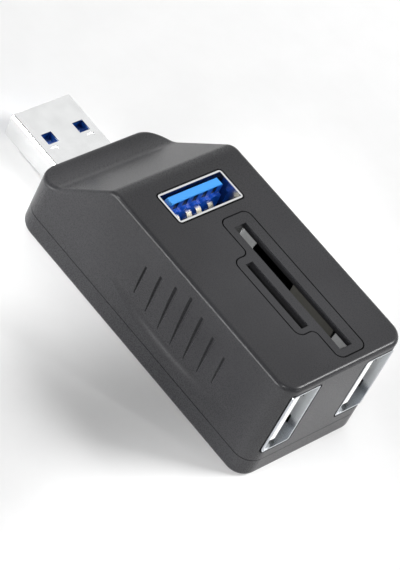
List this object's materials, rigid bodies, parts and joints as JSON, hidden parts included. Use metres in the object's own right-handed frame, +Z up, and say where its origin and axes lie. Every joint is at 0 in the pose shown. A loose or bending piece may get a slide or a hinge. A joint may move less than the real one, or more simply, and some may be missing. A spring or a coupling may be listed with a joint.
{
  "type": "usb hub card reader",
  "caption": "Compact plug-in USB hub and card reader: dark moulded housing with a fixed plug, a blue top port, rear ports, card slots and grooved finger dishes.",
  "frame": {"origin": "middle of the housing's flat underside", "axes": "+X from the plug towards the rear ports, along the length; +Z up, out of the face with the card slots; +Y to the side nearest the large card slot"},
  "size_m": [0.0675, 0.0252, 0.021],
  "materials": {
    "housing": "fine-textured satin moulding",
    "plated_steel": "bright nickel-plated folded sheet",
    "blue_plastic": "smooth moulding",
    "white_plastic": "smooth moulding",
    "black_plastic": "smooth moulding",
    "contact_metal": "gold-flashed stamped strip",
    "circuit_board": "green coated laminate",
    "ceramic": "fired ceramic"
  },
  "bodies": {
    "root": {"upper_shell": "housing", "lower_cover": "housing", "card_slot_bezel": "housing", "main_board": "circuit_board", "reader_board": "circuit_board", "link_pins": "contact_metal", "plug_shell": "plated_steel", "plug_insulator": "blue_plastic", "plug_contacts": "contact_metal", "top_port_shell": "plated_steel", "top_port_tongue": "blue_plastic", "top_port_contacts": "contact_metal", "left_port_shell": "plated_steel", "left_port_tongue": "white_plastic", "left_port_contacts": "contact_metal", "right_port_shell": "plated_steel", "right_port_tongue": "white_plastic", "right_port_contacts": "contact_metal", "sd_socket_frame": "black_plastic", "sd_socket_cover": "plated_steel", "sd_contacts": "contact_metal", "sd_guide_strip": "black_plastic", "micro_socket_frame": "black_plastic", "micro_socket_cover": "plated_steel", "micro_contacts": "contact_metal", "hub_chip": "black_plastic", "reader_chip": "black_plastic", "crystal_can": "plated_steel", "chip_capacitors": "ceramic"}
  },
  "joints": []
}
